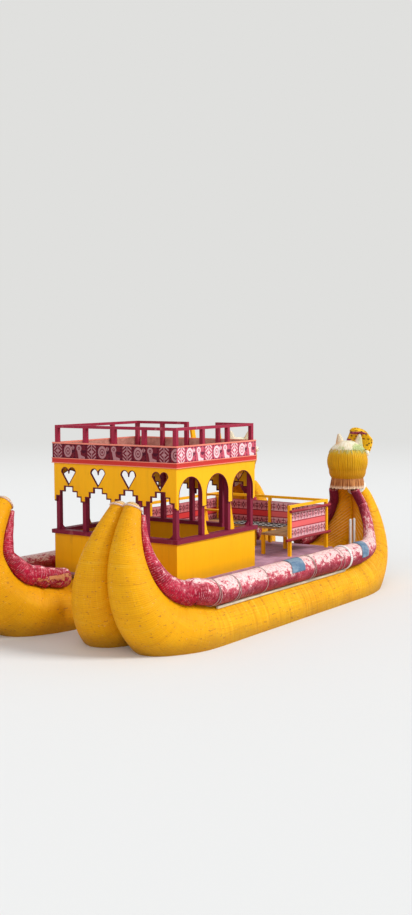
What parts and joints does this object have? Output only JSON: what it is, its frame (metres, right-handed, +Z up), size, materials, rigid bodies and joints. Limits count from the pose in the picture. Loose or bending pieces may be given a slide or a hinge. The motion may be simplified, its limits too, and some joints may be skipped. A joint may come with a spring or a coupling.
{
  "type": "reed boat",
  "caption": "Catamaran reed boat with yellow bundles, dark red gunwale rolls, a painted cabin, deck benches and animal heads on the prows.",
  "frame": {"origin": "on the water's surface at the middle of the boat, between the two hulls", "axes": "+X towards the bow, +Y to port, +Z up"},
  "size_m": [8.9925, 5.0898, 3.9138],
  "materials": {
    "yellow_reed": "painted tied reed, satin",
    "red_reed": "painted tied reed, worn",
    "straw": "dry reed, matte",
    "spotted_reed": "painted reed with dark spots",
    "eye_white": "painted, satin",
    "pale_wood": "weathered",
    "bare_wood": "weathered",
    "deck_boards": "worn paint",
    "yellow_paint": "gloss paint on boards",
    "maroon_paint": "gloss paint on timber",
    "red_paint": "gloss paint on timber",
    "salmon_paint": "paint on timber",
    "woven_band": "woven wool band on boards",
    "dark_weave": "woven cover"
  },
  "bodies": {
    "root": {"arch_panel_port": "yellow_paint", "arch_panel_starboard": "yellow_paint", "bench_backs": "woven_band", "bench_posts": "yellow_paint", "bench_rails": "maroon_paint", "bench_seats": "bare_wood", "bench_top_rails": "yellow_paint", "bundle_port_inner": "yellow_reed", "bundle_port_outer": "yellow_reed", "bundle_starboard_inner": "yellow_reed", "bundle_starboard_outer": "yellow_reed", "cabin_floor": "deck_boards", "cabin_posts": "maroon_paint", "cross_beams": "bare_wood", "crown_port": "straw", "crown_starboard": "straw", "eyes": "eye_white", "fore_deck": "deck_boards", "head_port": "yellow_reed", "head_starboard": "yellow_reed", "jaws_port": "spotted_reed", "jaws_starboard": "spotted_reed", "ladder": "yellow_paint", "lower_wall_bow": "yellow_paint", "lower_wall_port": "yellow_paint", "lower_wall_starboard": "yellow_paint", "lower_wall_stern": "yellow_paint", "neck_lashing_port": "straw", "neck_lashing_starboard": "straw", "roll_port_inner": "red_reed", "roll_port_outer": "red_reed", "roll_starboard_inner": "red_reed", "roll_starboard_outer": "red_reed", "roof_cap": "salmon_paint", "roof_deck": "deck_boards", "roof_fascia": "woven_band", "roof_posts": "maroon_paint", "roof_rail": "maroon_paint", "roof_strip": "red_paint", "seat_cover": "dark_weave", "side_pole": "pale_wood", "sill": "maroon_paint", "stepped_panel_bow": "yellow_paint", "stepped_panel_stern": "yellow_paint", "thole_block": "bare_wood", "thole_pins": "pale_wood"}
  },
  "joints": []
}
